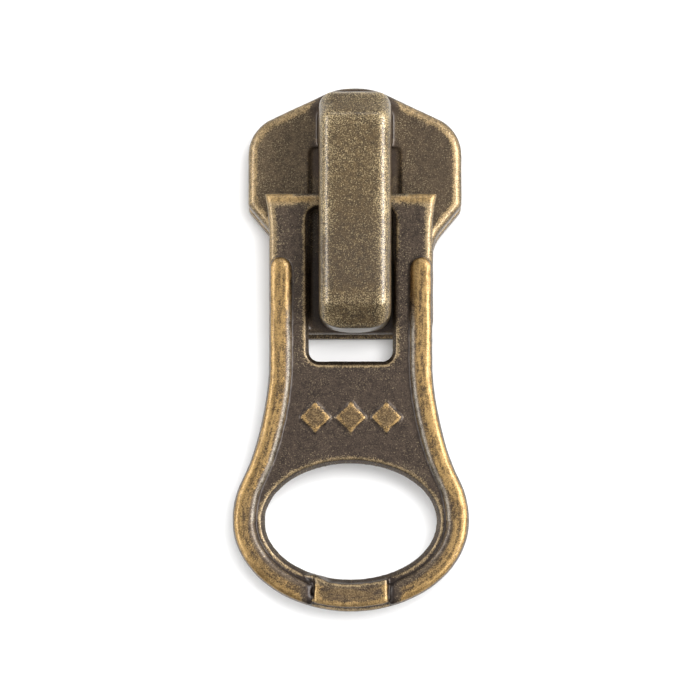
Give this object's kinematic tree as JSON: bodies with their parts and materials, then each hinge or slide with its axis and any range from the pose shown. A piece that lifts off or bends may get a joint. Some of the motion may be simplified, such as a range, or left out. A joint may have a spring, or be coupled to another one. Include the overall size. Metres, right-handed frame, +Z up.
{
  "type": "zipper slider",
  "caption": "Automatic-lock zipper slider with a two-blade body, a long hollow crown and a long ribbed pull with an oval eye.",
  "frame": {"origin": "middle of the flat underside of the lower blade", "axes": "+Z up through the blades, +Y towards the nose, the end that leads when the zipper is closed, and +X across"},
  "size_m": [0.018, 0.04, 0.0112],
  "materials": {
    "body_brass": "antique brass, dark patina with rubbed edges",
    "crown_brass": "antique brass, dark patina with rubbed edges",
    "pull_brass": "antique brass, dark patina with rubbed ribs and edges",
    "pawl_steel": "dull plated steel",
    "spring_steel": "bright spring steel"
  },
  "bodies": {
    "slider": {"slider_body": "body_brass", "crown_cover": "crown_brass", "leaf_spring": "spring_steel"},
    "pawl": {"lock_pawl": "pawl_steel"},
    "pull": {"pull_tab": "pull_brass"}
  },
  "joints": [
    {"name": "pawl_lift", "type": "hinge", "parent": "slider", "child": "pawl", "pos_m": [0, 0.0048, 0.00875], "axis": [-1, 0, 0], "range_deg": [0, 7], "stiffness_Nm_per_rad": 0.025, "springref_deg": -11.46, "deforming": ["leaf_spring"]},
    {"name": "pull_swing", "type": "hinge", "parent": "pawl", "child": "pull", "pos_m": [-0.00032, 0.0006, 0.0081], "axis": [-1, 0, 0], "range_deg": [0, 170]}
  ]
}
